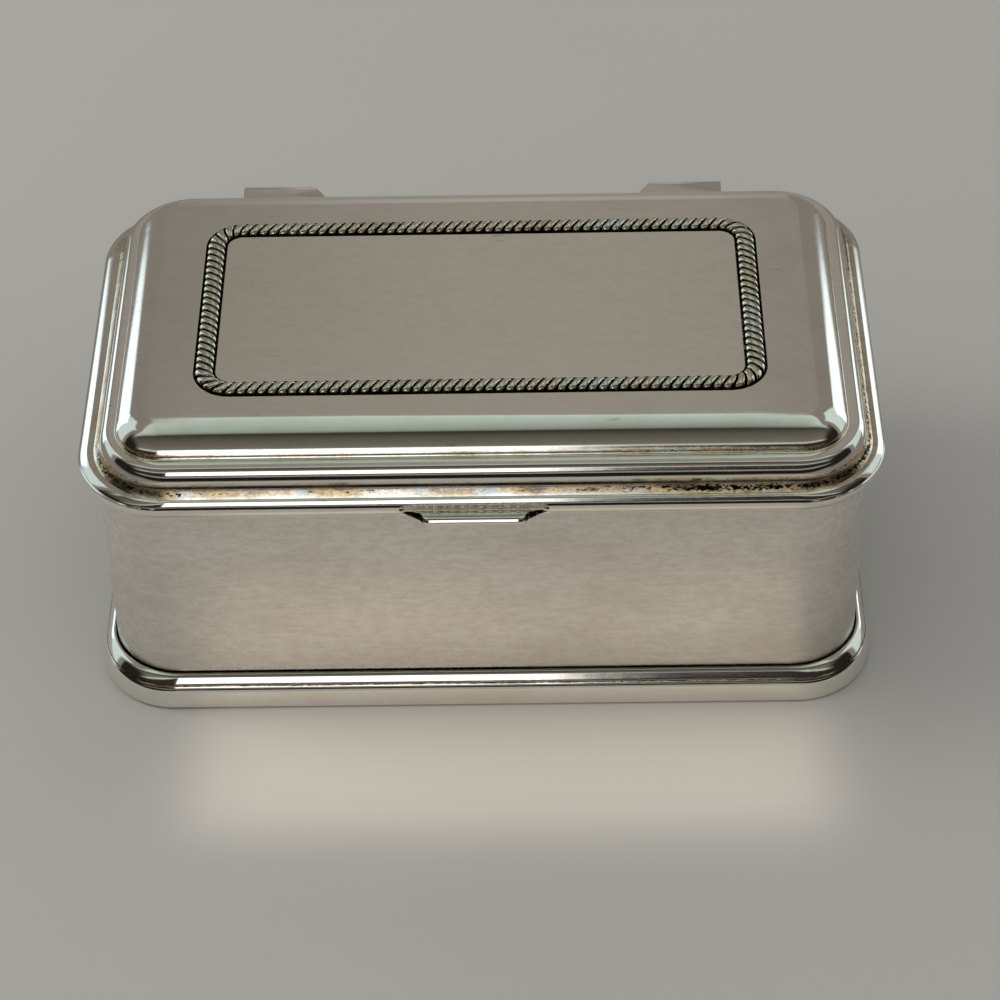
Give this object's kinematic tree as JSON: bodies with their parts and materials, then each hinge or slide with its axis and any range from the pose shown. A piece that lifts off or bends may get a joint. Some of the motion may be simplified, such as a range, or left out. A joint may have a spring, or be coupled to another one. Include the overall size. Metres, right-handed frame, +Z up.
{
  "type": "trinket box",
  "caption": "Rectangular silver-plated trinket box with rounded corners, a stepped hinged lid bordered with rope wire, a thumb tab and a velvet-lined inside.",
  "frame": {"origin": "centre of the felt underside that the box stands on", "axes": "+X along the box to the right as seen from the thumb tab, +Y to the hinges at the back, +Z up"},
  "size_m": [0.127, 0.0848, 0.0544],
  "materials": {
    "polished_silver": "polished silver plate, lightly scratched and tarnished",
    "satin_silver": "rubbed silver plate with a cloudy, lengthwise grain",
    "steel": "plain drawn pin wire",
    "velvet": "dark blue velvet over card",
    "felt": "dark felt"
  },
  "bodies": {
    "box": {"body_shell": "satin_silver", "base_moulding": "polished_silver", "bottom_plate": "satin_silver", "base_felt": "felt", "floor_lining": "velvet", "lining_front": "velvet", "lining_right": "velvet", "lining_back": "velvet", "lining_left": "velvet", "left_hinge_body_leaf": "polished_silver", "right_hinge_body_leaf": "polished_silver", "left_hinge_pin": "steel", "right_hinge_pin": "steel"},
    "lid": {"lid_shell": "polished_silver", "rope_border": "polished_silver", "lid_seat_frame": "satin_silver", "lid_lining": "velvet", "thumb_tab": "polished_silver", "left_hinge_lid_leaf": "polished_silver", "right_hinge_lid_leaf": "polished_silver"}
  },
  "joints": [
    {"name": "lid_hinge", "type": "hinge", "parent": "box", "child": "lid", "pos_m": [0, 0.0411, 0.043], "axis": [-1, 0, 0], "range_deg": [0, 95]}
  ]
}
